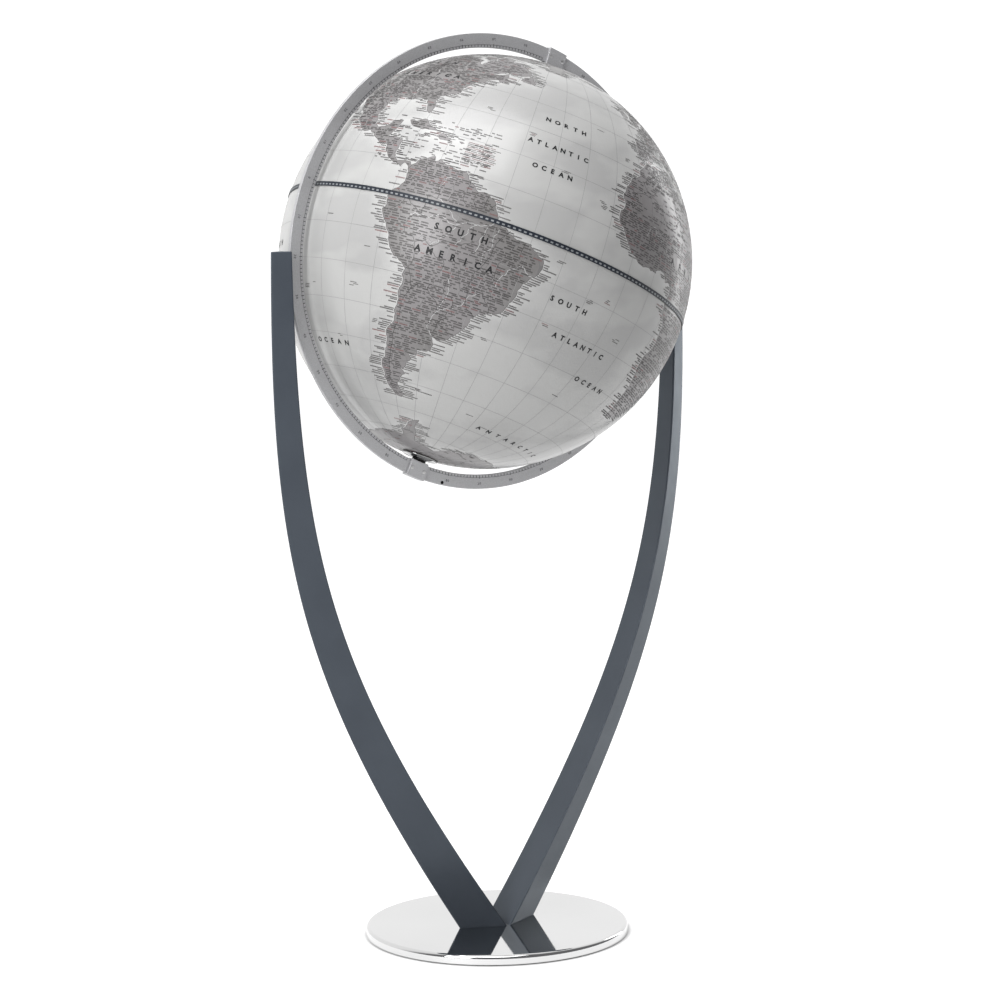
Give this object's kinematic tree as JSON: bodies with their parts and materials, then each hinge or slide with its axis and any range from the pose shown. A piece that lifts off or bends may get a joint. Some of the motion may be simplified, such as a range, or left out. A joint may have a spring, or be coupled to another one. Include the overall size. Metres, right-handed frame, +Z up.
{
  "type": "floor-standing globe",
  "caption": "Floor-standing globe: a ball on a tilted axis in a full meridian ring that swings between two curved three-sided legs on a round chromed base.",
  "frame": {"origin": "centre of the underside of the base, on the floor", "axes": "+Z up, +X along the swing axis from the left leg top to the right leg top, -Y towards the front"},
  "size_m": [0.4822, 0.4014, 0.8829],
  "materials": {
    "chrome": "mirror polished chrome plate",
    "steel": "plain machined steel",
    "pad": "matt dark pad",
    "leg_paint": "satin slate blue-grey paint",
    "nylon": "natural nylon",
    "satin_metal": "satin anodised grey with fine printed scale",
    "black_metal": "black oxide",
    "black_plastic": "black moulded plastic",
    "map_print": "printed map under satin-gloss lacquer",
    "seam_band": "printed dark band with light cells",
    "aluminium": "plain drawn tube"
  },
  "bodies": {
    "stand": {"base_cover": "chrome", "base_weight": "steel", "base_pad": "pad", "right_leg": "leg_paint", "left_leg": "leg_paint", "left_leg_inner_screw": "steel", "left_leg_outer_screw": "steel", "right_leg_inner_screw": "steel", "right_leg_outer_screw": "steel", "right_pivot_pin": "steel", "right_pivot_washer": "nylon", "left_pivot_pin": "steel", "left_pivot_washer": "nylon"},
    "meridian": {"meridian_half_right": "satin_metal", "meridian_half_left": "satin_metal", "meridian_stop_screw": "black_metal", "north_pole_block": "satin_metal", "south_pole_block": "satin_metal", "north_block_screw_right": "steel", "north_block_screw_left": "steel", "south_block_screw_right": "steel", "south_block_screw_left": "steel", "north_axis_pin": "steel", "south_axis_pin": "steel", "north_thrust_washer": "black_plastic", "south_thrust_washer": "black_plastic"},
    "globe": {"north_pole_cup": "chrome", "south_pole_cup": "chrome", "north_bush": "nylon", "south_bush": "nylon", "north_hemisphere": "map_print", "south_hemisphere": "map_print", "equator_band": "seam_band", "equator_joiner": "nylon", "centre_tube": "aluminium"}
  },
  "joints": [
    {"name": "meridian_swing", "type": "hinge", "parent": "stand", "child": "meridian", "pos_m": [0, 0, 0.663], "axis": [1, 0, 0], "continuous": true},
    {"name": "globe_spin", "type": "hinge", "parent": "meridian", "child": "globe", "pos_m": [0, 0, 0.663], "axis": [0.3987, 0, 0.9171], "continuous": true}
  ]
}
